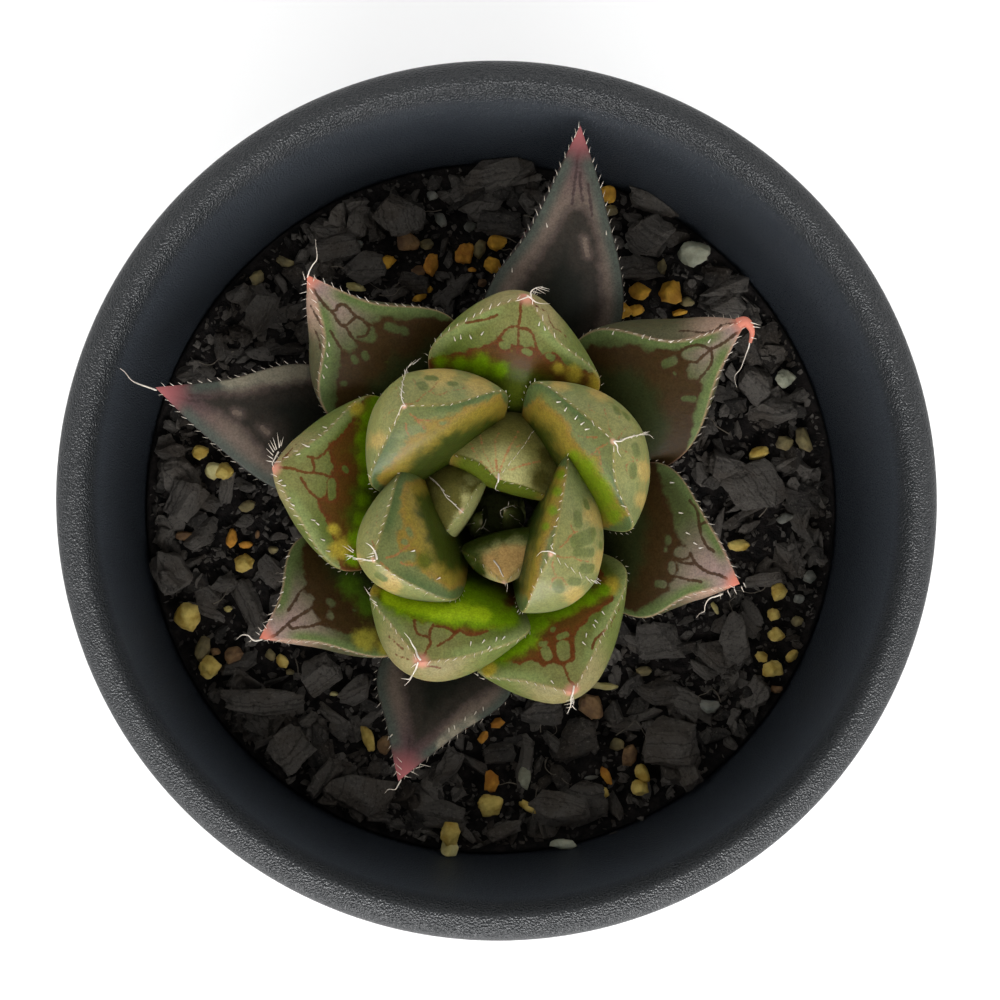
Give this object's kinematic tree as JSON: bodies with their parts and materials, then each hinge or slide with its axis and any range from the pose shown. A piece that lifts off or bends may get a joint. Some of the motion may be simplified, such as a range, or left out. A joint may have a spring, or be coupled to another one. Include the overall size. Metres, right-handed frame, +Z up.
{
  "type": "potted haworthia",
  "caption": "Small rosette haworthia with three-ridged, toothed, window-topped leaves, planted in charcoal and grit inside a round black lipped pot.",
  "frame": {"origin": "middle of the pot's resting face", "axes": "+Z up through the pot's mouth; +Y towards the back, where the longest low leaf points; +X to the right"},
  "size_m": [0.08, 0.08, 0.0745],
  "materials": {
    "pot_plastic": "satin black moulded plastic with a fine grained lip",
    "potting_mix": "dark crumbled charcoal and bark",
    "stem": "pale green fleshy stem",
    "leaf_low": "old dark purple brown leaf, satin",
    "leaf_outer": "grey green window with purple brown veins, satin",
    "leaf_middle": "grey green window with red brown veins, satin",
    "leaf_inner": "pale green with ochre and red veins, satin",
    "leaf_heart": "dark green young leaf, satin",
    "charcoal": "matt black charcoal",
    "yellow_grain": "matt yellow grit",
    "pale_grain": "matt pale grit"
  },
  "bodies": {
    "root": {"pot": "pot_plastic", "potting_mix": "potting_mix", "stem": "stem", "leaf_bud_left": "leaf_heart", "leaf_bud_right": "leaf_heart", "leaf_heart_back": "leaf_heart", "leaf_heart_front": "leaf_heart", "leaf_heart_left": "leaf_heart", "leaf_inner_back_left": "leaf_inner", "leaf_inner_back_right": "leaf_inner", "leaf_inner_front_left": "leaf_inner", "leaf_inner_front_right": "leaf_inner", "leaf_low_back": "leaf_low", "leaf_low_front": "leaf_low", "leaf_low_left": "leaf_low", "leaf_middle_back": "leaf_middle", "leaf_middle_front_left": "leaf_middle", "leaf_middle_front_right": "leaf_middle", "leaf_middle_left": "leaf_middle", "leaf_outer_back_left": "leaf_outer", "leaf_outer_back_right": "leaf_outer", "leaf_outer_front_left": "leaf_outer", "leaf_outer_right": "leaf_outer", "charcoal_chip_01": "charcoal", "charcoal_chip_02": "charcoal", "charcoal_chip_03": "charcoal", "charcoal_chip_04": "charcoal", "charcoal_chip_05": "charcoal", "charcoal_chip_06": "charcoal", "charcoal_chip_07": "charcoal", "charcoal_chip_08": "charcoal", "charcoal_chip_09": "charcoal", "charcoal_chip_10": "charcoal", "charcoal_chip_11": "charcoal", "charcoal_chip_12": "charcoal", "pale_grain_01": "pale_grain", "pale_grain_02": "pale_grain", "pale_grain_03": "pale_grain", "pale_grain_04": "pale_grain", "yellow_grain_01": "yellow_grain", "yellow_grain_02": "yellow_grain", "yellow_grain_03": "yellow_grain", "yellow_grain_04": "yellow_grain", "yellow_grain_05": "yellow_grain", "yellow_grain_06": "yellow_grain", "yellow_grain_07": "yellow_grain", "yellow_grain_08": "yellow_grain", "yellow_grain_09": "yellow_grain", "yellow_grain_10": "yellow_grain", "yellow_grain_11": "yellow_grain", "yellow_grain_12": "yellow_grain", "yellow_grain_13": "yellow_grain", "yellow_grain_14": "yellow_grain", "yellow_grain_15": "yellow_grain", "yellow_grain_16": "yellow_grain", "yellow_grain_17": "yellow_grain"}
  },
  "joints": []
}
